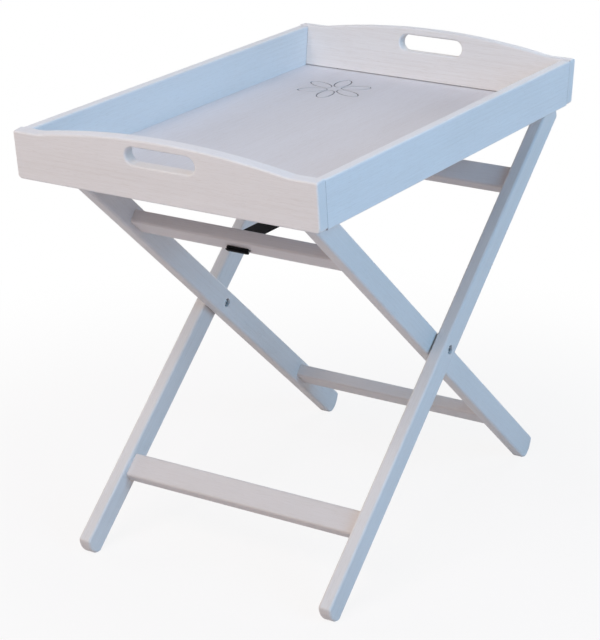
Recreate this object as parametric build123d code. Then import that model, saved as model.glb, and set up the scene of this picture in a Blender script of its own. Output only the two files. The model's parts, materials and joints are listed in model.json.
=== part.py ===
from build123d import *
import os
from math import cos, radians, sin, tan

os.makedirs("parts", exist_ok=True)

# Tray table: a loose wooden tray with two arched, leaning end boards, lying on a
# folding stand of two crossed leg frames that a webbing strap holds open.
# Millimetres. +Z up, floor at Z 0, X along the tray, Y across it, origin on the
# floor under the middle of the tray. "Near" is the -X end, "left" the +Y side.

# Tray sizes
tray_length = 600.0
tray_width = 377.0
board_thickness = 12.0
end_thickness = 15.0
board_height = 54.0
end_lean = 6.2
arch_rise = 13.3
arch_shoulder = 32.5
arch_blend = 50.0
low_corner_round = 5.0
board_edge_round = 2.2
joint_arris = 0.5
handle_length = 86.0
handle_height = 20.0
handle_below_crown = 19.1
panel_thickness = 5.0
rebate_width = 6.0
panel_gap = 0.3
end_shadow_gap = 1.0
tray_set_forward = 27.5

# Flower routed in the tray's panel
flower_from_end = 88.0
flower_from_side = 94.0
flower_radius = 46.0
flower_petals = 6
flower_turn = 7.0
petal_length = 38.0
petal_width = 19.2
groove_width = 1.6
groove_depth = 1.0

# Tray joinery
tray_dowel_diameter = 6.0
tray_dowel_in_side = 20.0
tray_dowel_in_end = 8.0
tray_dowel_from_bottom = 17.0
tray_dowel_from_top = 13.0
pin_diameter = 1.8
pin_length = 12.0
pin_head_diameter = 3.4
pin_head_thickness = 0.8
pin_head_sink = 0.2
pin_from_panel_edge = 2.2
pins_per_side = 5
pins_per_end = 4
pin_end_margin = 45.0

# Stand sizes
leg_width = 30.0
leg_thickness = 16.0
leg_half_length = 342.5
leg_end_bulge = 5.0
leg_corner_round = 4.0
leg_edge_round = 3.0
leg_angle = 49.07
heel_cut = 3.0
stand_width = 339.0
leg_gap = 1.8
bar_width = 30.0
bar_thickness = 16.0
bar_edge_round = 3.0
bar_from_leg_end = 108.0
bar_dowel_diameter = 6.0
bar_dowel_in_leg = 10.0
bar_dowel_in_bar = 20.0
bar_dowel_pitch = 15.0

# Pivot hardware
head_diameter = 9.5
head_thickness = 2.6
head_dome = 1.8
head_recess = 0.6
head_well_gap = 0.75
hex_key = 3.0
hex_depth = 1.4
bolt_diameter = 5.0
nut_barrel_diameter = 7.0
nut_in_outer_leg = 5.0
nut_web = 1.8
nut_bore_spare = 1.0
washer_diameter = 18.0
pivot_running_gap = 0.08
pivot_end_gap = 0.1

# Strap
strap_width = 28.0
strap_thickness = 1.6
strap_slot_drop = 6.5
strap_slot_gap = 0.4
strap_slot_side_gap = 0.2
strap_slot_mouth_round = 1.2
hem_above_slot = 2.0
hem_height = 6.0
hem_fold_gap = 0.4
hem_fold_flat = 0.04

# Fits shared by the glued and driven joints
glue_gap = 0.1
dowel_end_gap = 0.5

# Derived places
lean = radians(end_lean)
tilt = radians(leg_angle)
pivot_x = tray_set_forward
pivot_z = leg_half_length * cos(tilt) + leg_width / 2 * sin(tilt) - heel_cut
underside = 2 * pivot_z
bar_from_pivot = leg_half_length - bar_from_leg_end
tray_half_width = tray_width / 2
arch_half_span = tray_half_width - arch_shoulder
handle_centre_height = board_height + arch_rise - handle_below_crown
end_outer_bottom = tray_length / 2 - board_height * tan(lean)
end_inner_bottom = end_outer_bottom - end_thickness / cos(lean)
side_inner = tray_half_width - board_thickness
pocket_half_length = end_inner_bottom + rebate_width
pocket_half_width = side_inner + rebate_width
pin_inset = rebate_width - panel_gap - pin_from_panel_edge
tray_dowel_heights = (tray_dowel_from_bottom, board_height - tray_dowel_from_top)
outer_leg_out = stand_width / 2
outer_leg_in = outer_leg_out - leg_thickness
inner_leg_out = outer_leg_in - leg_gap
inner_leg_in = inner_leg_out - leg_thickness
cut_reach = tray_length


def upright(sketch, low_y, high_y):
    """Solid from a sketch drawn in the X-Z plane, running from low_y to high_y."""
    return extrude(Plane.XZ.offset(-low_y) * sketch, amount=-(high_y - low_y))


def rod_y(diameter, low_y, high_y, x, z):
    """Round rod along Y."""
    return upright(Pos(x, z) * Circle(diameter / 2), low_y, high_y)


def rod_x(diameter, low_x, high_x, y, z):
    """Round rod along X."""
    return extrude(Plane.YZ.offset(low_x) * Pos(y, z) * Circle(diameter / 2), amount=high_x - low_x)


def rod_z(diameter, low_z, high_z, x, y):
    """Round rod along Z."""
    return extrude(Plane.XY.offset(low_z) * Pos(x, y) * Circle(diameter / 2), amount=high_z - low_z)


def block(x0, x1, y0, y1, z0, z1):
    """Plain block between two corners."""
    return Pos((x0 + x1) / 2, (y0 + y1) / 2, (z0 + z1) / 2) * Box(x1 - x0, y1 - y0, z1 - z0)


def spread(count, half):
    """Evenly spaced places from -half to +half."""
    return [half * (2 * k / (count - 1) - 1) for k in range(count)]


def inner_face_x(height):
    """How far out an end board's inner face is, at a height above the underside."""
    return end_inner_bottom + height * tan(lean)


def save(name, shape):
    """Write one piece, or one set of like pieces, under its name."""
    shape.label = name
    export_step(shape, "parts/" + name + ".step")


# Tray joinery: places of the corner dowels and the panel pins
corner_dowels = []
corner_dowel_holes = []
for end in (-1, 1):
    for side in (-1, 1):
        for height in tray_dowel_heights:
            y = side * (tray_half_width - board_thickness / 2)
            joint = inner_face_x(height)
            ends = sorted((end * (joint - tray_dowel_in_side), end * (joint + tray_dowel_in_end)))
            dowel = rod_x(tray_dowel_diameter, *ends, y, underside + height)
            hole = rod_x(
                tray_dowel_diameter + 2 * glue_gap,
                ends[0] - dowel_end_gap,
                ends[1] + dowel_end_gap,
                y,
                underside + height,
            )
            corner_dowels.append(dowel)
            corner_dowel_holes.append(hole)

pin_places = []
for end in (-1, 1):
    for y in spread(pins_per_end, side_inner - pin_end_margin):
        pin_places.append((end * (end_inner_bottom + pin_inset), y))
for side in (-1, 1):
    for x in spread(pins_per_side, end_inner_bottom - pin_end_margin):
        pin_places.append((x, side * (side_inner + pin_inset)))

panel_pins = []
pin_holes = []
for x, y in pin_places:
    head_low = underside + pin_head_sink
    head_high = head_low + pin_head_thickness
    tip = head_low + pin_length
    panel_pins.append(
        rod_z(pin_head_diameter, head_low, head_high, x, y) + rod_z(pin_diameter, head_high, tip, x, y)
    )
    pin_holes.append(
        rod_z(pin_head_diameter + 2 * glue_gap, underside, head_high, x, y)
        + rod_z(pin_diameter + 2 * glue_gap, head_high, tip + dowel_end_gap, x, y)
    )

# Pocket that the four boards' rebates leave for the panel
panel_pocket = block(
    -pocket_half_length,
    pocket_half_length,
    -pocket_half_width,
    pocket_half_width,
    underside,
    underside + panel_thickness,
)

# The end boards' rebates are cut deeper, which leaves a dark line above the panel
end_pocket = block(
    -pocket_half_length,
    pocket_half_length,
    -pocket_half_width,
    pocket_half_width,
    underside,
    underside + panel_thickness + end_shadow_gap,
)

# End boards: arched top, hand hole, leaning out
end_slope_height = board_height / cos(lean)
end_foot = end_thickness * tan(lean) + low_corner_round
end_plane = Plane(
    origin=(end_outer_bottom, 0, underside), x_dir=(0, -1, 0), z_dir=(-cos(lean), 0, sin(lean))
)
end_line = Polyline(
    (arch_half_span, end_slope_height),
    (tray_half_width, end_slope_height),
    (tray_half_width, -end_foot),
    (-tray_half_width, -end_foot),
    (-tray_half_width, end_slope_height),
    (-arch_half_span, end_slope_height),
)
end_arch = ThreePointArc(
    (-arch_half_span, end_slope_height),
    (0, end_slope_height + arch_rise),
    (arch_half_span, end_slope_height),
)
end_sketch = make_face(Curve() + [end_line, end_arch])
arch_ends = [v for v in end_sketch.vertices() if abs(abs(v.X) - arch_half_span) < 0.01]
end_sketch = fillet(arch_ends, arch_blend)
end_sketch -= Pos(0, handle_centre_height / cos(lean)) * SlotOverall(handle_length, handle_height)
end_far = extrude(end_plane * end_sketch, amount=end_thickness)
end_far -= block(0, cut_reach, -cut_reach, cut_reach, underside - cut_reach, underside)
end_far = fillet(end_far.faces().sort_by(Axis.Z)[0].edges().filter_by(Axis.X), low_corner_round)
end_faces = end_far.faces().filter_by(end_plane).sort_by(Axis.X)
outer_edges = end_faces[-1].edges()
inner_face = end_faces[0]
inner_edges = [e for e in inner_face.edges() if (e @ 0.5).Z > underside + board_height / 2]
inner_edges = [e for e in inner_edges if e.length < tray_width and abs((e @ 0.5).Y) < tray_half_width]
through_board = end_far.edges().filter_by(Axis(end_plane.origin, end_plane.z_dir)).group_by(Axis.Y)
top_corners = through_board[0] + through_board[-1]
end_far = fillet(outer_edges + inner_edges + top_corners, board_edge_round)
end_far -= end_pocket
end_far -= [h for h in corner_dowel_holes + pin_holes if h.center().X > 0]
end_near = mirror(end_far, about=Plane.YZ)

# Side boards: butted between the leaning end boards
side_sketch = make_face(
    Polyline(
        (-inner_face_x(0), underside),
        (inner_face_x(0), underside),
        (inner_face_x(board_height), underside + board_height),
        (-inner_face_x(board_height), underside + board_height),
        close=True,
    )
)
side_left = upright(side_sketch, side_inner, tray_half_width)
side_ends = side_left.faces().sort_by(Axis.X)
side_left = chamfer([f.edges().sort_by(Axis.Y)[-1] for f in (side_ends[0], side_ends[-1])], joint_arris)
side_long = side_left.edges().filter_by(Axis.X)
side_round = side_long.group_by(Axis.Z)[-1] + side_long.group_by(Axis.Z)[0].sort_by(Axis.Y)[-1:]
side_left = fillet(side_round, board_edge_round)
side_left -= panel_pocket
side_left -= [h for h in corner_dowel_holes + pin_holes if h.center().Y > 0]
side_right = mirror(side_left, about=Plane.XZ)

# Bottom panel, with the flower's petals as shallow routed loops
panel_top = underside + panel_thickness
panel = block(
    -pocket_half_length + panel_gap,
    pocket_half_length - panel_gap,
    -pocket_half_width + panel_gap,
    pocket_half_width - panel_gap,
    underside,
    panel_top,
)


def petal(inset):
    """Oval petal pointing along X, drawn inset from its outline."""
    middle = flower_radius - petal_length / 2
    return Pos(middle) * Ellipse(petal_length / 2 - inset, petal_width / 2 - inset)


flower_x = inner_face_x(panel_thickness) - flower_from_end
flower_y = side_inner - flower_from_side
petal_loop = petal(0) - petal(groove_width)
for k in range(flower_petals):
    petal_turn = flower_turn + 360 * k / flower_petals
    groove_place = Pos(flower_x, flower_y, panel_top) * Rot(0, 0, petal_turn)
    panel -= extrude(groove_place * petal_loop, amount=-groove_depth)
panel -= pin_holes

save("tray_bottom_panel", panel)
save("tray_end_near", end_near)
save("tray_end_far", end_far)
save("tray_side_left", side_left)
save("tray_side_right", side_right)
save("tray_corner_dowels", Compound(corner_dowels))
save("tray_panel_pins", Compound(panel_pins))


def stand_place(frame, along, across=0.0):
    """X and Z of a point on a leg: along it from the pivot, and across towards +X."""
    lean_to = 1 if frame == "outer" else -1
    x = pivot_x + lean_to * along * sin(tilt) + across * cos(tilt)
    z = pivot_z + along * cos(tilt) - lean_to * across * sin(tilt)
    return x, z


def stand_turn(frame):
    """Turn of a sketch drawn upright, to lie along a frame's legs."""
    return Rot(0, 0, -leg_angle if frame == "outer" else leg_angle)


# Leg blank: domed ends, rounded edges, heel and top cut level
leg_outline = make_face(
    Curve()
    + [
        Line((-leg_width / 2, -leg_half_length), (-leg_width / 2, leg_half_length)),
        ThreePointArc(
            (-leg_width / 2, leg_half_length),
            (0, leg_half_length + leg_end_bulge),
            (leg_width / 2, leg_half_length),
        ),
        Line((leg_width / 2, leg_half_length), (leg_width / 2, -leg_half_length)),
        ThreePointArc(
            (leg_width / 2, -leg_half_length),
            (0, -leg_half_length - leg_end_bulge),
            (-leg_width / 2, -leg_half_length),
        ),
    ]
)
leg_outline = fillet(leg_outline.vertices(), leg_corner_round)
below_floor = block(-cut_reach, cut_reach, -cut_reach, cut_reach, -cut_reach, 0)
above_legs = block(-cut_reach, cut_reach, -cut_reach, cut_reach, underside, underside + cut_reach)


def leg_blank(frame, low_y, high_y):
    """One leg, with its four long edges and its domed ends rounded over."""
    blank = upright(Pos(pivot_x, pivot_z) * stand_turn(frame) * leg_outline, low_y, high_y)
    blank = fillet(blank.faces().filter_by(Axis.Y).edges(), leg_edge_round)
    return blank - below_floor - above_legs


# Bar dowels: two at each end of each bar
def bar_dowel_set(frame, along, leg_face, spare):
    """The four dowels of a bar, or with spare room, their holes."""
    rods = []
    for side in (-1, 1):
        for step in (-0.5, 0.5):
            x, z = stand_place(frame, along + step * bar_dowel_pitch)
            in_bar = side * (leg_face - bar_dowel_in_bar - spare)
            in_leg = side * (leg_face + bar_dowel_in_leg + spare)
            width = bar_dowel_diameter + (2 * glue_gap if spare else 0)
            rods.append(rod_y(width, *sorted((in_bar, in_leg)), x, z))
    return rods


bar_face = {"inner": inner_leg_in, "outer": outer_leg_in}
bar_places = (("top", bar_from_pivot), ("bottom", -bar_from_pivot))
dowel_holes = {}
for frame in ("inner", "outer"):
    for level, along in bar_places:
        dowels = bar_dowel_set(frame, along, bar_face[frame], 0.0)
        dowel_holes[frame, level] = bar_dowel_set(frame, along, bar_face[frame], dowel_end_gap)
        save(frame + "_" + level + "_bar_dowels", Compound(dowels))

# Pivot: a bolt from outside screws into a sleeve nut that the inner leg turns on; their heads are alike
bolt_top = outer_leg_out - head_recess
bolt_seat = bolt_top - head_thickness
nut_face = inner_leg_in + head_recess
nut_shoulder = nut_face + head_thickness
nut_well = nut_shoulder + pivot_end_gap
head_well = head_diameter + 2 * head_well_gap
dome_radius = ((head_diameter / 2) ** 2 + head_dome**2) / (2 * head_dome)
nut_bore_end = nut_face + hex_depth + nut_web
bolt_tip = nut_bore_end + nut_bore_spare
nut_end = outer_leg_in + nut_in_outer_leg
hex_socket = RegularPolygon(hex_key / 2, 6, major_radius=False)
running_bore = nut_barrel_diameter + 2 * pivot_running_gap

bolt = rod_y(head_diameter, bolt_seat, bolt_top + head_dome, pivot_x, pivot_z)
bolt &= Pos(pivot_x, bolt_top - dome_radius, pivot_z) * Sphere(dome_radius)
bolt += rod_y(bolt_diameter, bolt_tip, bolt_seat, pivot_x, pivot_z)
bolt -= upright(Pos(pivot_x, pivot_z) * hex_socket, bolt_top - hex_depth, bolt_top)

nut = rod_y(head_diameter, nut_face - head_dome, nut_shoulder, pivot_x, pivot_z)
nut &= Pos(pivot_x, nut_face + dome_radius, pivot_z) * Sphere(dome_radius)
nut += rod_y(nut_barrel_diameter, nut_shoulder, nut_end, pivot_x, pivot_z)
nut -= upright(Pos(pivot_x, pivot_z) * hex_socket, nut_face, nut_face + hex_depth)
nut -= rod_y(bolt_diameter + 2 * glue_gap, nut_bore_end, nut_end, pivot_x, pivot_z)

washer = rod_y(washer_diameter, inner_leg_out + pivot_end_gap, outer_leg_in, pivot_x, pivot_z)
washer -= rod_y(running_bore, inner_leg_out, outer_leg_in, pivot_x, pivot_z)

# Legs of the inner frame: tops to the near end, running bore and a well for the nut's head
inner_left = leg_blank("inner", inner_leg_in, inner_leg_out)
inner_left -= rod_y(running_bore, inner_leg_in, inner_leg_out, pivot_x, pivot_z)
inner_left -= rod_y(head_well, inner_leg_in, nut_well, pivot_x, pivot_z)
inner_left -= [h for level in ("top", "bottom") for h in dowel_holes["inner", level] if h.center().Y > 0]

# Legs of the outer frame: tops to the far end, stepped bore and a well for the bolt's head
outer_left = leg_blank("outer", outer_leg_in, outer_leg_out)
outer_left -= rod_y(bolt_diameter + 2 * glue_gap, outer_leg_in, outer_leg_out, pivot_x, pivot_z)
barrel_hole = nut_barrel_diameter + 2 * glue_gap
outer_left -= rod_y(barrel_hole, outer_leg_in, nut_end + dowel_end_gap, pivot_x, pivot_z)
outer_left -= rod_y(head_well, bolt_seat, outer_leg_out, pivot_x, pivot_z)
outer_left -= [h for level in ("top", "bottom") for h in dowel_holes["outer", level] if h.center().Y > 0]

for name, piece in (
    ("inner_leg", inner_left),
    ("outer_leg", outer_left),
    ("pivot_bolt", bolt),
    ("pivot_sleeve_nut", nut),
    ("pivot_washer", washer),
):
    save(name + "_left", piece)
    save(name + "_right", mirror(piece, about=Plane.XZ))

# Bars between the legs; the two upper ones are slotted for the strap
slot_gap_height = strap_thickness + 2 * strap_slot_gap
slot_along = bar_from_pivot - strap_slot_drop
slot_end_round = slot_gap_height / 2
strap_corner_inset = slot_end_round - (slot_end_round**2 - (strap_thickness / 2) ** 2) ** 0.5
slot_length = strap_width + 2 * (strap_corner_inset + strap_slot_side_gap)
slot_sketch = SlotOverall(slot_length, slot_gap_height)
for frame in ("inner", "outer"):
    for level, along in bar_places:
        x, z = stand_place(frame, along)
        section = Pos(x, z) * stand_turn(frame) * RectangleRounded(bar_thickness, bar_width, bar_edge_round)
        bar = upright(section, -bar_face[frame], bar_face[frame])
        bar -= dowel_holes[frame, level]
        if level == "top":
            x, z = stand_place(frame, slot_along)
            out_x = 1 if frame == "outer" else -1
            slot_plane = Plane(
                origin=(x, 0, z), x_dir=(0, 1, 0), z_dir=(out_x * cos(tilt), 0, -sin(tilt))
            )
            bar -= extrude(slot_plane * slot_sketch, amount=bar_thickness, both=True)
            mouths = []
            for face in bar.faces().filter_by(slot_plane):
                mouths += face.inner_wires().edges()
            bar = fillet(mouths, strap_slot_mouth_round)
        save(frame + "_" + level + "_bar", bar)

# Strap: rolled up and sewn over the mouth of each upper bar's slot, through it, and straight across
inside_bend = strap_slot_mouth_round + strap_slot_gap
strap_bend = inside_bend + strap_thickness / 2
hem_pitch = strap_thickness + hem_fold_gap
hem_bend = (hem_pitch - hem_fold_flat) / 2
hem_low = slot_along + hem_above_slot
hem_top = hem_low + hem_height - strap_thickness
hem_out = [bar_thickness / 2 + strap_thickness / 2 + layer * hem_pitch for layer in range(3)]
_, bend_z = stand_place(
    "inner",
    slot_along - strap_thickness / 2 - inside_bend,
    bar_thickness / 2 - strap_slot_mouth_round,
)
span_z = bend_z + strap_bend
_, slot_mid_z = stand_place("inner", slot_along)
leave = (span_z - slot_mid_z) / sin(tilt)
strap_half = [
    stand_place("inner", hem_top + strap_thickness / 2, -hem_out[2]),
    stand_place("inner", hem_low, -hem_out[2]),
    stand_place("inner", hem_low, -hem_out[1]),
    stand_place("inner", hem_top, -hem_out[1]),
    stand_place("inner", hem_top, -hem_out[0]),
    stand_place("inner", slot_along, -hem_out[0]),
    stand_place("inner", slot_along, leave),
]
strap_points = strap_half + [(2 * pivot_x - x, z) for x, z in reversed(strap_half)]
strap_radii = 4 * [hem_bend] + 2 * [strap_bend]
strap_path = FilletPolyline(
    *[(x, 0, z) for x, z in strap_points], radius=strap_radii + list(reversed(strap_radii))
)
strap_section = Plane(origin=strap_path @ 0, x_dir=(0, 1, 0), z_dir=strap_path % 0)
strap = sweep(strap_section * Rectangle(strap_width, strap_thickness), path=strap_path)
save("strap", strap)

print("pivot height", round(pivot_z, 2), "tray underside", round(underside, 2))
print("strap cut length", round(strap_path.length, 1), "height of its span", round(span_z, 2))
strap_stock = strap_path.length * strap_width * strap_thickness
print("strap volume", round(strap.volume), "section times length", round(strap_stock))
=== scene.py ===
import json
import math

import bmesh
import bpy
from mathutils import Euler, Matrix, Vector


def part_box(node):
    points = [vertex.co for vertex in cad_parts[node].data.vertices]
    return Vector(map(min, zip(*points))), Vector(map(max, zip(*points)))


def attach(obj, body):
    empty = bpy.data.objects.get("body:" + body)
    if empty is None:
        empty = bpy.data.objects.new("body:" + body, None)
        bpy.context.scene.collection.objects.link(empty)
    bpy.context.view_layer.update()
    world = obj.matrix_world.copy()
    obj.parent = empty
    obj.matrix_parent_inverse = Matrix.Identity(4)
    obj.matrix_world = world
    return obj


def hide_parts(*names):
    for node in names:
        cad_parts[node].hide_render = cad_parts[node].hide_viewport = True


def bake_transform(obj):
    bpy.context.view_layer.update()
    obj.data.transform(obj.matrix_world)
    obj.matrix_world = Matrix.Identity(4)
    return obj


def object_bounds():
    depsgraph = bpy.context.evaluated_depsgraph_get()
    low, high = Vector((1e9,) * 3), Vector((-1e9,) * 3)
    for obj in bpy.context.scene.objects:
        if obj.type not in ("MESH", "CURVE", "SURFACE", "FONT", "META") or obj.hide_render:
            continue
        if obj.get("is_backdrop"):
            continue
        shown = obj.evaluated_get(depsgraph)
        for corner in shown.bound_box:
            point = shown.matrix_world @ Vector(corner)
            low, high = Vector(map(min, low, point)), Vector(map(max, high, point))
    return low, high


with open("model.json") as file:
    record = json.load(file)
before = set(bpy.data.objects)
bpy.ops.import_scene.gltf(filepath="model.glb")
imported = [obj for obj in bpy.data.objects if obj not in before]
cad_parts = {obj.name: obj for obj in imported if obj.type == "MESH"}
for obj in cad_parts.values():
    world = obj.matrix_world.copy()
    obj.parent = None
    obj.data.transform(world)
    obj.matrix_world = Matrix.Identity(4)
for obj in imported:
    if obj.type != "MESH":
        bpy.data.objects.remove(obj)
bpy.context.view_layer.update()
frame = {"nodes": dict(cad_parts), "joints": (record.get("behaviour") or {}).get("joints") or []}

solids = frame["nodes"]

# Legs: four straight lengths of 30 by 16 mm hardwood with domed ends and rounded
# edges, stained with a thin white wash that lets the grain show along each leg.
# Each pair carries two bars, and the two pairs cross at the pivot.
stand_fold = next(joint for joint in frame["joints"] if joint["name"] == "stand_fold")
pivot = Vector(stand_fold["pos_m"])
leg_tilt = math.radians(49.07)
inner_leg_line = Vector((-math.sin(leg_tilt), 0.0, math.cos(leg_tilt)))
outer_leg_line = Vector((math.sin(leg_tilt), 0.0, math.cos(leg_tilt)))
across_tray = Vector((0.0, 1.0, 0.0))
wash_white = (0.735, 0.722, 0.716, 1.0)
wood_under_wash = (0.47, 0.40, 0.345, 1.0)
wash_gloss = 0.38
grain_depth = 0.00015


def feed(tree, node, feeds):
    """A node's inputs take other sockets or plain values."""
    for key, value in feeds.items():
        if isinstance(value, bpy.types.NodeSocket):
            tree.links.new(value, node.inputs[key])
        else:
            node.inputs[key].default_value = value


def put(tree, kind, feeds=None, **settings):
    """A new node with its settings and what feeds it."""
    made = tree.nodes.new(kind)
    for key, value in settings.items():
        setattr(made, key, value)
    feed(tree, made, feeds or {})
    return made


def maths(tree, operation, *values, clamp=False):
    """The output of one Math node."""
    feeds = dict(enumerate(values))
    return put(tree, "ShaderNodeMath", feeds, operation=operation, use_clamp=clamp).outputs[0]


def vector_maths(tree, operation, *values):
    """The output of one Vector Math node."""
    feeds = dict(enumerate(values))
    outputs = put(tree, "ShaderNodeVectorMath", feeds, operation=operation).outputs
    return outputs["Value" if operation == "LENGTH" else "Vector"]


def between(tree, value, low, high, to_low=0.0, to_high=1.0):
    """A value brought smoothly from one range to another."""
    feeds = {0: value, 1: low, 2: high, 3: to_low, 4: to_high}
    return put(tree, "ShaderNodeMapRange", feeds, interpolation_type="SMOOTHSTEP").outputs[0]


def two_tones(tree, share, first, second):
    """A colour that goes from the first tone to the second with the share."""
    feeds = {0: share, 6: first, 7: second}
    return put(tree, "ShaderNodeMix", feeds, data_type="RGBA").outputs[2]


def place_on(tree):
    """Places on a piece, in the table's own frame."""
    return tree.nodes.new("ShaderNodeTexCoord").outputs["Object"]


def noise(tree, place, scale, detail, roughness=0.5):
    """Cloudy noise over a piece."""
    feeds = {"Vector": place, "Scale": scale, "Detail": detail, "Roughness": roughness}
    return put(tree, "ShaderNodeTexNoise", feeds).outputs["Fac"]


def stretched_noise(tree, board, stretch, detail):
    """Noise drawn out along the grain: stretch counts clouds per metre along, up and through."""
    return noise(tree, vector_maths(tree, "MULTIPLY", board, stretch), 1.0, detail, 0.6)


def new_finish(name):
    """A new finish, as its material, its node tree and its shader."""
    made = bpy.data.materials.new(name)
    made.use_nodes = True
    return made, made.node_tree, made.node_tree.nodes["Principled BSDF"]


def make_wash_grain():
    """Grain under a white wash: rings, streaks, pores, cloudy wash, thin arrises and end grain."""
    tree = bpy.data.node_groups.new("wash_grain", "ShaderNodeTree")
    for label, kind in (
        ("Board", "NodeSocketVector"),
        ("Facing", "NodeSocketVector"),
        ("Ring gap", "NodeSocketFloat"),
        ("Ring show", "NodeSocketFloat"),
        ("Wander", "NodeSocketFloat"),
        ("Bare", "NodeSocketFloat"),
    ):
        tree.interface.new_socket(label, in_out="INPUT", socket_type=kind)
    for label in ("Thin", "Height", "Shine"):
        tree.interface.new_socket(label, in_out="OUTPUT", socket_type="NodeSocketFloat")
    given = tree.nodes.new("NodeGroupInput").outputs
    board = given["Board"]

    ring_taper = (0.07, 1.0, 1.0)
    ring_at_scale_one = 0.31416
    rings = put(
        tree,
        "ShaderNodeTexWave",
        {
            "Vector": vector_maths(tree, "MULTIPLY", board, ring_taper),
            "Scale": maths(tree, "DIVIDE", ring_at_scale_one, given["Ring gap"]),
            "Distortion": given["Wander"],
            "Detail": 2.5,
            "Detail Scale": 0.12,
            "Detail Roughness": 0.55,
        },
        wave_type="RINGS",
        rings_direction="X",
        wave_profile="SAW",
    ).outputs["Fac"]
    streak = stretched_noise(tree, board, (5.0, 300.0, 300.0), 3.0)
    fibre = stretched_noise(tree, board, (42.0, 1500.0, 1500.0), 2.0)
    cloud = stretched_noise(tree, board, (4.0, 17.0, 17.0), 2.0)
    pore = between(tree, stretched_noise(tree, board, (95.0, 2300.0, 2300.0), 1.0), 0.60, 0.70)
    cleared = between(tree, cloud, 0.38, 0.66, 0.15, 1.0)
    show_through = maths(tree, "MULTIPLY", cleared, given["Ring show"])
    late_wood = maths(tree, "MULTIPLY", between(tree, rings, 0.45, 0.96), show_through)

    facing = vector_maths(tree, "ABSOLUTE", given["Facing"])
    axes = put(tree, "ShaderNodeSeparateXYZ", {0: facing}).outputs
    flattest = maths(tree, "MAXIMUM", maths(tree, "MAXIMUM", axes[0], axes[1]), axes[2])
    arris = between(tree, flattest, 0.95, 0.74)
    rubbed = maths(tree, "MULTIPLY", arris, between(tree, streak, 0.35, 0.7, 0.25, 1.0))
    end_grain = between(tree, axes[0], 0.72, 0.93)

    thin = given["Bare"]
    for part, share in (
        (late_wood, 0.06),
        (maths(tree, "SUBTRACT", streak, 0.5), 0.13),
        (maths(tree, "SUBTRACT", fibre, 0.5), 0.30),
        (maths(tree, "SUBTRACT", cloud, 0.5), 0.20),
        (pore, 0.16),
        (rubbed, 0.12),
        (end_grain, 0.03),
    ):
        thin = maths(tree, "MULTIPLY_ADD", part, share, thin)
    thin = maths(tree, "MAXIMUM", maths(tree, "MINIMUM", thin, 1.0), 0.0)
    height = maths(tree, "MULTIPLY_ADD", late_wood, 0.35, maths(tree, "MULTIPLY", fibre, 0.6))
    height = maths(tree, "MULTIPLY_ADD", pore, -0.5, height)
    shine = maths(tree, "MULTIPLY_ADD", fibre, 0.14, 0.42)
    shine = maths(tree, "MULTIPLY_ADD", thin, 0.16, shine)
    put(tree, "NodeGroupOutput", {"Thin": thin, "Height": height, "Shine": shine})
    return tree


wash_grain = make_wash_grain()


def washed_wood(
    name, along, up, centre, log, wash=wash_white, bare=0.13, ring_gap=0.0026, ring_show=1.0, wander=9.0
):
    """White-washed wood for one piece: its grain runs along, and log is where it lay in the tree."""
    made, tree, shader = new_finish(name)
    turn = Matrix((along, up, along.cross(up))).transposed()
    start = centre - turn @ Vector(log)
    where = tree.nodes.new("ShaderNodeTexCoord").outputs
    board = put(
        tree,
        "ShaderNodeMapping",
        {"Vector": where["Object"], "Location": start, "Rotation": turn.to_euler()},
        vector_type="TEXTURE",
    ).outputs[0]
    facing = put(
        tree,
        "ShaderNodeVectorRotate",
        {"Vector": where["Normal"], "Rotation": turn.to_euler()},
        rotation_type="EULER_XYZ",
        invert=True,
    ).outputs[0]
    grain = put(
        tree,
        "ShaderNodeGroup",
        {
            "Board": board,
            "Facing": facing,
            "Ring gap": ring_gap,
            "Ring show": ring_show,
            "Wander": wander,
            "Bare": bare,
        },
        node_tree=wash_grain,
    ).outputs
    relief = {"Strength": 0.4, "Distance": grain_depth, "Height": grain["Height"]}
    feed(tree, shader, {
        "Base Color": two_tones(tree, grain["Thin"], wash, wood_under_wash),
        "Roughness": grain["Shine"],
        "Normal": put(tree, "ShaderNodeBump", relief).outputs[0],
        "Specular IOR Level": wash_gloss,
    })
    return made


def middle_of(node):
    """The middle of a CAD solid's box."""
    low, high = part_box(node)
    return (low + high) / 2


def dress(node, material):
    """A CAD solid takes a finish in place of its plain one."""
    solids[node].data.materials.clear()
    solids[node].data.materials.append(material)


for name, line, log in (
    ("inner_leg_left", inner_leg_line, (3.1, 0.066, 0.024)),
    ("inner_leg_right", inner_leg_line, (5.7, 0.058, -0.031)),
    ("outer_leg_left", outer_leg_line, (8.2, -0.071, 0.018)),
    ("outer_leg_right", outer_leg_line, (11.9, -0.062, -0.027)),
):
    dress(name, washed_wood("wash_" + name, line, across_tray, middle_of(name), log))

# Bars: two 30 by 16 mm lengths in each leg frame, set between the legs square to
# their line, of washed wood a shade pinker, with the grain running from leg to leg.
bar_white = (0.700, 0.667, 0.660, 1.0)
for name, line, log in (
    ("inner_top_bar", inner_leg_line, (14.3, 0.021, 0.060)),
    ("inner_bottom_bar", inner_leg_line, (17.7, -0.025, 0.068)),
    ("outer_top_bar", outer_leg_line, (20.2, 0.029, -0.057)),
    ("outer_bottom_bar", outer_leg_line, (23.5, -0.017, -0.064)),
):
    dress(name, washed_wood("wash_" + name, across_tray, line, middle_of(name), log, bar_white))

# Bar dowels: short 6 mm beech pegs glued blind into bar and leg, two at each end
# of each bar, unwashed because they are hidden in the joints.
bare_beech = (0.72, 0.56, 0.38, 1.0)
peg_log = (27.0, 0.02, 0.05)
for name, line in (
    ("inner_top_bar_dowels", inner_leg_line),
    ("inner_bottom_bar_dowels", inner_leg_line),
    ("outer_top_bar_dowels", outer_leg_line),
    ("outer_bottom_bar_dowels", outer_leg_line),
):
    dress(name, washed_wood("beech_" + name, across_tray, line, middle_of(name), peg_log, bare_beech))

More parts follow.
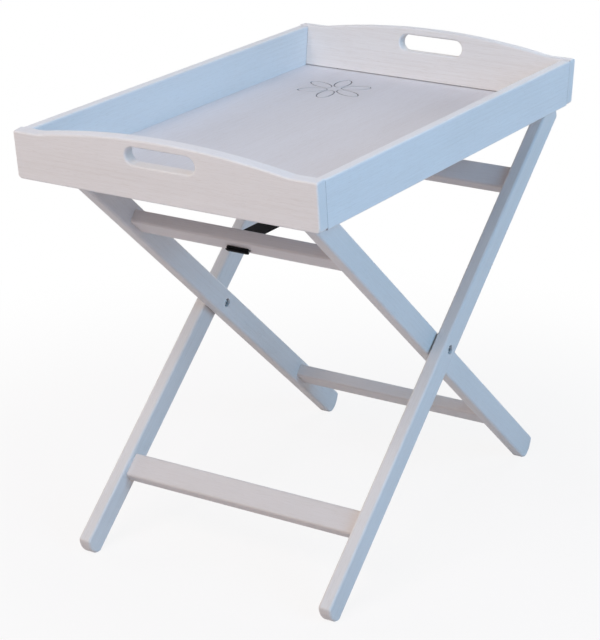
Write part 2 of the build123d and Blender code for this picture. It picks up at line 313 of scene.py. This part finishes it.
# Pivot hardware: on each side a blue zinc-plated bolt with a domed head sunk in the
# outer leg screws into a sleeve nut with a like head, which the inner leg turns on,
# with a thin dark nylon washer between the legs.
plated_grey = (0.29, 0.36, 0.43, 1.0)
plated_dark = (0.155, 0.20, 0.25, 1.0)
lathe_ring_pitch, lathe_ring_depth = 0.000419, 0.00003


def turned_steel(name):
    """Bright plated steel with fine lathe rings about the pivot line and a little dulling."""
    made, tree, shader = new_finish(name)
    place = place_on(tree)
    from_pivot = vector_maths(tree, "SUBTRACT", place, pivot)
    square_to_bolt = vector_maths(tree, "MULTIPLY", from_pivot, (1.0, 0.0, 1.0))
    radius = vector_maths(tree, "LENGTH", square_to_bolt)
    rings = maths(tree, "SINE", maths(tree, "MULTIPLY", radius, 2 * math.pi / lathe_ring_pitch))
    dull = noise(tree, place, 420.0, 4.0, 0.65)
    relief = {"Strength": 0.25, "Distance": lathe_ring_depth, "Height": rings}
    feed(tree, shader, {
        "Base Color": two_tones(tree, between(tree, dull, 0.35, 0.75), plated_grey, plated_dark),
        "Roughness": between(tree, dull, 0.3, 0.75, 0.16, 0.34),
        "Normal": put(tree, "ShaderNodeBump", relief).outputs[0],
        "Metallic": 1.0,
    })
    return made


pivot_plate = turned_steel("pivot_plate")
for name in (
    "pivot_bolt_left",
    "pivot_bolt_right",
    "pivot_sleeve_nut_left",
    "pivot_sleeve_nut_right",
):
    dress(name, pivot_plate)

nylon_grey = (0.105, 0.105, 0.11, 1.0)
nylon_dark = (0.075, 0.075, 0.08, 1.0)
washer_nylon, nylon_tree, nylon_shader = new_finish("washer_nylon")
nylon_cloud = noise(nylon_tree, place_on(nylon_tree), 260.0, 3.0)
nylon_share = between(nylon_tree, nylon_cloud, 0.3, 0.7)
feed(nylon_tree, nylon_shader, {
    "Base Color": two_tones(nylon_tree, nylon_share, nylon_grey, nylon_dark),
    "Roughness": between(nylon_tree, nylon_cloud, 0.3, 0.7, 0.34, 0.46),
})
for name in ("pivot_washer_left", "pivot_washer_right"):
    dress(name, washer_nylon)

# Strap: one length of black woven webbing, 28 by 1.6 mm, that stops the legs from
# spreading. It goes through a slot in each upper bar and ends outside, rolled up
# and sewn in three layers that are too thick to pull back through.
strap_width, strap_thick, strap_length = 0.028, 0.0016, 0.4019
rib_count, rib_rise, rib_steps = 13, 0.00017, 6
edge_steps = 6
slot_along, hem_low, hem_top = 0.2280, 0.2300, 0.2344
hem_out = (0.0088, 0.0108, 0.0128)
hem_bend, slot_bend = 0.00098, 0.0024
span_height = 0.38805


def on_inner_frame(along, across):
    """A point of the inner frame: along its legs from the pivot, and across towards +X."""
    return Vector((
        pivot.x - along * math.sin(leg_tilt) + across * math.cos(leg_tilt),
        0.0,
        pivot.z + along * math.cos(leg_tilt) + across * math.sin(leg_tilt),
    ))


slot_middle = on_inner_frame(slot_along, 0.0)
half_run = [
    on_inner_frame(hem_top + strap_thick / 2, -hem_out[2]),
    on_inner_frame(hem_low, -hem_out[2]),
    on_inner_frame(hem_low, -hem_out[1]),
    on_inner_frame(hem_top, -hem_out[1]),
    on_inner_frame(hem_top, -hem_out[0]),
    on_inner_frame(slot_along, -hem_out[0]),
    on_inner_frame(slot_along, (span_height - slot_middle.z) / math.sin(leg_tilt)),
]
half_bends = 4 * [hem_bend] + 2 * [slot_bend]
strap_run = half_run + [Vector((2 * pivot.x - p.x, 0.0, p.z)) for p in reversed(half_run)]
strap_bends = half_bends + half_bends[::-1]


def webbing_line(points, bends, step, arc_degrees=9, fewest_turns=4):
    """Places along the strap: straight runs in even steps, and each bend as a short arc."""
    line = [points[0]]
    for before, corner, after, bend in zip(points, points[1:], points[2:], bends):
        back, on = (before - corner).normalized(), (after - corner).normalized()
        half = math.acos(max(-1.0, min(1.0, back.dot(on)))) / 2
        middle = corner + (back + on).normalized() * (bend / math.sin(half))
        first = corner + back * (bend / math.tan(half)) - middle
        last = corner + on * (bend / math.tan(half)) - middle
        swing = first.angle(last)
        turns = max(fewest_turns, int(math.degrees(swing) / arc_degrees))
        run = middle + first - line[-1]
        pieces = max(1, int(run.length / step))
        line += [line[-1] + run * (k / pieces) for k in range(1, pieces)]
        normal = first.cross(last)
        for k in range(turns + 1):
            line.append(middle + Matrix.Rotation(swing * k / turns, 3, normal) @ first)
    run = points[-1] - line[-1]
    pieces = max(1, int(run.length / step))
    return line + [line[-1] + run * (k / pieces) for k in range(1, pieces + 1)]


strap_line = webbing_line(strap_run, strap_bends, strap_thick)
edge_round = strap_thick / 2
ribbed = strap_width / 2 - edge_round
section = []
for k in range(rib_count * rib_steps + 1):
    v = -ribbed + 2 * ribbed * k / (rib_count * rib_steps)
    dip = rib_rise * (0.5 + 0.5 * math.cos(2 * math.pi * k / rib_steps))
    section.append((v, edge_round - dip))
for k in range(1, edge_steps):
    turn = math.pi * k / edge_steps
    v = ribbed + edge_round * math.sin(turn)
    section.append((v, (edge_round - rib_rise) * math.cos(turn)))
section += [(-v, -w) for v, w in section]

webbing = bpy.data.meshes.new("strap_webbing")
bm = bmesh.new()
weave_map = bm.loops.layers.uv.new("weave")
loops, travelled = [], 0.0
for k, place in enumerate(strap_line):
    ahead = strap_line[min(k + 1, len(strap_line) - 1)] - strap_line[max(k - 1, 0)]
    out = Vector((-ahead.z, 0.0, ahead.x)).normalized()
    if k:
        travelled += (place - strap_line[k - 1]).length
    ring = [bm.verts.new(place + across_tray * v + out * w) for v, w in section]
    loops.append((travelled, ring))
for (s0, ring0), (s1, ring1) in zip(loops, loops[1:]):
    for k in range(len(section)):
        m = (k + 1) % len(section)
        face = bm.faces.new((ring0[k], ring0[m], ring1[m], ring1[k]))
        face.smooth = True
        for loop, s, v in zip(face.loops, (s0, s0, s1, s1), (k, m, m, k)):
            loop[weave_map].uv = (s, section[v][0])
for s, ring in (loops[0], loops[-1]):
    cap = bm.faces.new(ring)
    for loop, (v, w) in zip(cap.loops, section):
        loop[weave_map].uv = (s + w, v)
bmesh.ops.recalc_face_normals(bm, faces=bm.faces[:])
bm.to_mesh(webbing)
bm.free()


def bring_in(name, data):
    """A new object in the scene."""
    made = bpy.data.objects.new(name, data)
    bpy.context.scene.collection.objects.link(made)
    return made


strap = bring_in("strap_webbing", webbing)

yarn_low = (0.0024, 0.0025, 0.0028, 1.0)
yarn_high = (0.0060, 0.0065, 0.0080, 1.0)
pick_length, yarn_depth = 0.0022, 0.0003
rib_pitch = 2 * ribbed / rib_count
webbing_black, web_tree, web_shader = new_finish("webbing_black")
web_place = place_on(web_tree)
weave_uv = put(web_tree, "ShaderNodeUVMap", uv_map="weave").outputs[0]
weave_along, weave_across, _ = put(web_tree, "ShaderNodeSeparateXYZ", {0: weave_uv}).outputs
rib_place = maths(web_tree, "DIVIDE", weave_across, rib_pitch)
rib_number = maths(web_tree, "FLOOR", maths(web_tree, "ADD", rib_place, 100.5))
half_pick = maths(web_tree, "MULTIPLY", maths(web_tree, "MODULO", rib_number, 2.0), 0.5)
pick = maths(web_tree, "MULTIPLY_ADD", weave_along, 1 / pick_length, half_pick)
wave = maths(web_tree, "SINE", maths(web_tree, "MULTIPLY", pick, math.pi))
crown = maths(web_tree, "ABSOLUTE", wave)
fuzz = noise(web_tree, web_place, 2600.0, 2.0)
faded = noise(web_tree, web_place, 70.0, 2.0)
# Painted highlight: yarn crowns take the lighter black and the hollows between picks the darker one;
# faded patches add real wear on top.
yarn = maths(web_tree, "MULTIPLY", crown, between(web_tree, fuzz, 0.25, 0.75, 0.6, 1.0))
worn = between(web_tree, faded, 0.4, 0.75)
crown_sheen_and_wear = maths(web_tree, "MULTIPLY_ADD", worn, 0.25, yarn, clamp=True)
yarn_relief = {"Strength": 0.7, "Distance": yarn_depth, "Height": yarn}
feed(web_tree, web_shader, {
    "Base Color": two_tones(web_tree, crown_sheen_and_wear, yarn_low, yarn_high),
    "Roughness": between(web_tree, yarn, 0.0, 1.0, 0.85, 0.62),
    "Normal": put(web_tree, "ShaderNodeBump", yarn_relief).outputs[0],
    "Specular IOR Level": 0.1,
})
strap.data.materials.append(webbing_black)

thread_low = (0.005, 0.005, 0.006, 1.0)
thread_high = (0.016, 0.016, 0.018, 1.0)
thread_black, thread_tree, thread_shader = new_finish("thread_black")
thread_twist = put(
    thread_tree,
    "ShaderNodeTexWave",
    {"Vector": place_on(thread_tree), "Scale": 700.0, "Distortion": 1.0},
    bands_direction="DIAGONAL",
).outputs["Fac"]
feed(thread_tree, thread_shader, {
    "Base Color": two_tones(thread_tree, thread_twist, thread_low, thread_high),
    "Roughness": between(thread_tree, thread_twist, 0.0, 1.0, 0.6, 0.45),
})


def make_stitch_tree():
    """Rows of short lock stitches laid across the webbing, from named sizes."""
    tree = bpy.data.node_groups.new("hem_stitches", "GeometryNodeTree")
    tree.interface.new_socket("Geometry", in_out="OUTPUT", socket_type="NodeSocketGeometry")
    for label, kind in (
        ("Stitches", "NodeSocketInt"),
        ("Rows", "NodeSocketInt"),
        ("Stitch pitch", "NodeSocketFloat"),
        ("Row pitch", "NodeSocketFloat"),
        ("Stitch length", "NodeSocketFloat"),
        ("Thread", "NodeSocketFloat"),
    ):
        tree.interface.new_socket(label, in_out="INPUT", socket_type=kind)
    given = tree.nodes.new("NodeGroupInput").outputs
    stitch_gaps = maths(tree, "SUBTRACT", given["Stitches"], 1.0)
    row_gaps = maths(tree, "SUBTRACT", given["Rows"], 1.0)
    spots = put(
        tree,
        "GeometryNodeMeshGrid",
        {
            "Size X": maths(tree, "MULTIPLY", row_gaps, given["Row pitch"]),
            "Size Y": maths(tree, "MULTIPLY", stitch_gaps, given["Stitch pitch"]),
            "Vertices X": given["Rows"],
            "Vertices Y": given["Stitches"],
        },
    ).outputs["Mesh"]
    bead_sizes = {"Segments": 8, "Rings": 6, "Radius": 0.5}
    bead = put(tree, "GeometryNodeMeshUVSphere", bead_sizes).outputs["Mesh"]
    bead_scale = {0: given["Thread"], 1: given["Stitch length"], 2: given["Thread"]}
    size = put(tree, "ShaderNodeCombineXYZ", bead_scale).outputs[0]
    laying = {"Points": spots, "Instance": bead, "Scale": size}
    laid = put(tree, "GeometryNodeInstanceOnPoints", laying).outputs[0]
    plain = put(tree, "GeometryNodeRealizeInstances", {0: laid}).outputs[0]
    smooth = put(tree, "GeometryNodeSetShadeSmooth", {0: plain}).outputs[0]
    dyed = {"Geometry": smooth, "Material": thread_black}
    done = put(tree, "GeometryNodeSetMaterial", dyed).outputs[0]
    put(tree, "NodeGroupOutput", {"Geometry": done})
    return tree


stitch_tree = make_stitch_tree()
stitch_sizes = {
    "Stitches": 8,
    "Rows": 2,
    "Stitch pitch": 0.0031,
    "Row pitch": 0.0024,
    "Stitch length": 0.0027,
    "Thread": 0.0006,
}
stitch_sink = 0.00012


def sewn_mesh(name):
    """The stitches of one hem as a plain mesh, lying flat at the origin."""
    maker_mesh = bpy.data.meshes.new(name + "_maker")
    maker = bring_in(name + "_maker", maker_mesh)
    modifier = maker.modifiers.new("stitches", "NODES")
    modifier.node_group = stitch_tree
    for item in stitch_tree.interface.items_tree:
        if item.in_out == "INPUT":
            modifier[item.identifier] = stitch_sizes[item.name]
    bpy.context.view_layer.update()
    ready = maker.evaluated_get(bpy.context.evaluated_depsgraph_get())
    sewn = bpy.data.meshes.new_from_object(ready)
    sewn.name = name
    bpy.data.objects.remove(maker)
    bpy.data.meshes.remove(maker_mesh)
    return sewn


for name, body, side in (
    ("hem_stitches_near", "inner_frame", 1),
    ("hem_stitches_far", "outer_frame", -1),
):
    spot = on_inner_frame((hem_low + hem_top) / 2, stitch_sink - hem_out[2] - strap_thick / 2)
    along = inner_leg_line.copy()
    out = Vector((-math.cos(leg_tilt), 0.0, -math.sin(leg_tilt)))
    if side < 0:
        spot.x, along.x, out.x = 2 * pivot.x - spot.x, -along.x, -out.x
    turn = Matrix((along, out.cross(along), out)).transposed().to_4x4()
    sewn = sewn_mesh(name)
    sewn.transform(Matrix.Translation(spot) @ turn)
    stitches = bring_in(name, sewn)
    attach(stitches, body)

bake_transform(strap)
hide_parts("strap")

# Tray ends: two arched boards, 15 mm thick, leaning out, each with a hand hole
# cut through below its crown. Washed whiter than the stand, grain along the board.
end_lean = math.radians(6.2)
near_end_up = Vector((-math.sin(end_lean), 0.0, math.cos(end_lean)))
far_end_up = Vector((math.sin(end_lean), 0.0, math.cos(end_lean)))
tray_white = (0.795, 0.785, 0.785, 1.0)
tray_bare = 0.05
for name, up, log in (
    ("tray_end_near", near_end_up, (31.2, 0.046, 0.083)),
    ("tray_end_far", far_end_up, (35.6, -0.039, -0.079)),
):
    end_wood = washed_wood(
        "wash_" + name, across_tray, up, middle_of(name), log, tray_white, tray_bare
    )
    dress(name, end_wood)

# Tray sides: two plain boards of 12 mm stock, butted between the leaning ends and
# dowelled to them, with the grain along the tray. Their glued joints, which have a
# small arris, are darkened in a thin line by dust and by painted shade of the joint.
along_tray, upward = Vector((1.0, 0.0, 0.0)), Vector((0.0, 0.0, 1.0))
joint_dust_and_shade = (0.27, 0.262, 0.27, 1.0)
joint_line = 0.0009


def darken(material, mask, share, tone):
    """A darker tone laid over a finish where the mask says."""
    tree = material.node_tree
    base = tree.nodes["Principled BSDF"].inputs["Base Color"]
    clean = base.links[0].from_socket
    tree.links.new(two_tones(tree, maths(tree, "MULTIPLY", mask, share), clean, tone), base)


for name, log in (
    ("tray_side_left", (39.1, 0.043, 0.088)),
    ("tray_side_right", (43.4, -0.048, 0.077)),
):
    low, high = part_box(name)
    side_wood = washed_wood(
        "wash_" + name, along_tray, upward, (low + high) / 2, log, tray_white, tray_bare
    )
    side_tree = side_wood.node_tree
    side_x, _, side_z = put(side_tree, "ShaderNodeSeparateXYZ", {0: place_on(side_tree)}).outputs
    below_top = maths(side_tree, "SUBTRACT", high.z, side_z)
    joint_reach = maths(side_tree, "MULTIPLY_ADD", below_top, -math.tan(end_lean), high.x)
    from_middle = maths(side_tree, "ABSOLUTE", side_x)
    from_joint = maths(side_tree, "SUBTRACT", joint_reach, from_middle)
    # Painted shade and dust: the side darkens within a thin line of its joint with each end board.
    dust_and_shade_mask = between(side_tree, from_joint, joint_line, joint_line / 3)
    darken(side_wood, dust_and_shade_mask, 0.75, joint_dust_and_shade)
    dress(name, side_wood)

# Corner dowels: 6 mm beech pegs glued blind into the corners of the tray, two in
# each, unwashed because they are hidden in the joints.
corner_pegs = washed_wood(
    "beech_corner_dowels",
    along_tray,
    upward,
    middle_of("tray_corner_dowels"),
    (47.0, 0.02, 0.05),
    bare_beech,
)
dress("tray_corner_dowels", corner_pegs)

# Bottom panel: 5 mm birch plywood let into the boards from below, washed thinly,
# with a six-petal flower routed as a fine groove, whose walls and floor are darkened
# with painted shade, as is the panel's edge just under its face.
panel_white = (0.70, 0.69, 0.71, 1.0)
groove_painted_shade = (0.10, 0.095, 0.10, 1.0)
groove_depth = 0.001
low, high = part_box("tray_bottom_panel")
groove_lip = high.z - 0.1 * groove_depth
groove_wall = high.z - 0.6 * groove_depth
under_groove = high.z - 1.2 * groove_depth
panel_wood = washed_wood(
    "wash_panel",
    along_tray,
    across_tray,
    (low + high) / 2,
    (51.8, 0.09, 0.24),
    wash=panel_white,
    bare=0.06,
    ring_gap=0.0045,
    ring_show=0.7,
    wander=26.0,
)
panel_tree = panel_wood.node_tree
panel_z = put(panel_tree, "ShaderNodeSeparateXYZ", {0: place_on(panel_tree)}).outputs[2]
# Painted shade: everything from 0.1 to 1.2 mm below the panel's face is darkened, the groove's walls
# and floor and the panel's top edge.
below_face = between(panel_tree, panel_z, groove_lip, groove_wall)
above_floor = maths(panel_tree, "GREATER_THAN", panel_z, under_groove)
darken(panel_wood, maths(panel_tree, "MULTIPLY", below_face, above_floor), 0.75, groove_painted_shade)
dress("tray_bottom_panel", panel_wood)

# Panel pins: small flat-headed steel nails driven up through the panel's edge
# into the boards, dull from age.
pin_bright = (0.42, 0.42, 0.43, 1.0)
pin_dull = (0.25, 0.24, 0.23, 1.0)
pin_steel, pin_tree, pin_shader = new_finish("pin_steel")
pin_cloud = noise(pin_tree, place_on(pin_tree), 900.0, 4.0)
pin_share = between(pin_tree, pin_cloud, 0.35, 0.7)
feed(pin_tree, pin_shader, {
    "Base Color": two_tones(pin_tree, pin_share, pin_bright, pin_dull),
    "Roughness": between(pin_tree, pin_cloud, 0.3, 0.7, 0.35, 0.6),
    "Metallic": 1.0,
})
dress("tray_panel_pins", pin_steel)

# Floor: a plain white studio floor that fades to white away from the table and
# keeps its soft shadow.
plain_white = (1.0, 1.0, 1.0, 1.0)
floor_tint = (0.72, 0.65, 0.64, 1.0)
floor_half, floor_z = 6.0, -0.0003
shadow_full, shadow_gone, white_in_shadow = 0.3, 0.95, 0.87
floor_mesh = bpy.data.meshes.new("studio_floor")
floor_mesh.from_pydata(
    [(x * floor_half, y * floor_half, floor_z) for x, y in ((-1, -1), (1, -1), (1, 1), (-1, 1))],
    [],
    [(0, 1, 2, 3)],
)
bring_in("studio_floor", floor_mesh)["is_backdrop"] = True


def seen_straight(tree):
    """1 for the camera, a reflection or a clear material, and 0 for the light itself."""
    path = tree.nodes.new("ShaderNodeLightPath").outputs
    looked_at = maths(tree, "MAXIMUM", path["Is Camera Ray"], path["Is Glossy Ray"])
    return maths(tree, "MAXIMUM", looked_at, path["Is Transmission Ray"])


floor_white = bpy.data.materials.new("floor_white")
floor_white.use_nodes = True
floor_tree = floor_white.node_tree
floor_tree.nodes.clear()
from_table = vector_maths(floor_tree, "LENGTH", place_on(floor_tree))
fading = between(floor_tree, from_table, shadow_full, shadow_gone, white_in_shadow, 1.0)
white_share = maths(floor_tree, "MULTIPLY", seen_straight(floor_tree), fading)
lit_floor = put(floor_tree, "ShaderNodeBsdfDiffuse", {"Color": floor_tint}).outputs[0]
bright = {"Color": plain_white, "Strength": 1.0}
bright_floor = put(floor_tree, "ShaderNodeEmission", bright).outputs[0]
floor_shares = {0: white_share, 1: lit_floor, 2: bright_floor}
floor_look = put(floor_tree, "ShaderNodeMixShader", floor_shares).outputs[0]
put(floor_tree, "ShaderNodeOutputMaterial", {"Surface": floor_look})
floor_mesh.materials.append(floor_white)

# Light: soft studio boxes round the table, cool from the right side and warm from
# the near end, under an even pale surround.
surround_tint, surround_strength = (0.93, 0.96, 1.0, 1.0), 0.085
studio = bpy.data.worlds.new("studio")
bpy.context.scene.world = studio
studio.use_nodes = True
world_tree = studio.node_tree
world_tree.nodes.clear()
even = {"Color": surround_tint, "Strength": surround_strength}
surround = put(world_tree, "ShaderNodeBackground", even).outputs[0]
backdrop = put(world_tree, "ShaderNodeBackground", bright).outputs[0]
world_shares = {0: seen_straight(world_tree), 1: surround, 2: backdrop}
world_look = put(world_tree, "ShaderNodeMixShader", world_shares).outputs[0]
put(world_tree, "ShaderNodeOutputWorld", {"Surface": world_look})

box_distance, box_size = 4.2, 2.6
lit_middle = Vector((0.0, 0.0, 0.35))
for name, bearing, rise, power, tint in (
    ("box_near_end", 175.0, 41.0, 110.0, (1.0, 0.885, 0.815)),
    ("box_right_side", 262.0, 23.0, 108.0, (0.325, 0.655, 1.0)),
    ("box_overhead", 0.0, 90.0, 30.0, (0.66, 0.71, 1.0)),
    ("box_far_end", 0.0, 12.0, 58.0, (1.0, 0.97, 0.94)),
    ("box_left_side", 90.0, 12.0, 56.0, (0.92, 0.96, 1.0)),
):
    lamp = bpy.data.lights.new(name, "AREA")
    lamp.shape, lamp.size = "SQUARE", box_size
    lamp.energy, lamp.color = power, tint
    holder = bring_in(name, lamp)
    turn = Euler((0.0, -math.radians(rise), math.radians(bearing))).to_matrix()
    holder.location = lit_middle + turn @ Vector((box_distance, 0.0, 0.0))
    holder.rotation_euler = (lit_middle - holder.location).to_track_quat("-Z", "Y").to_euler()
    holder.visible_camera = False

# Camera: a long lens at the photograph's viewpoint, above the near right corner.
view_place = Vector((-2.0399, -1.23325, 1.13617))
view_right = Vector((0.521243, -0.853405, -0.002497))
view_up = Vector((0.29997, 0.180475, 0.936721))
view_back = Vector((-0.798952, -0.489008, 0.350067))
camera = bpy.data.cameras.new("photo_view")
camera.sensor_width, camera.lens = 36.0, 122.13
camera.clip_start, camera.clip_end = 0.05, 50.0
camera_holder = bring_in("photo_view", camera)
view_turn = Matrix((view_right, view_up, view_back)).transposed().to_4x4()
camera_holder.matrix_world = Matrix.Translation(view_place) @ view_turn
bpy.context.scene.camera = camera_holder
bpy.context.scene.view_settings.view_transform = "Standard"

low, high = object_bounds()
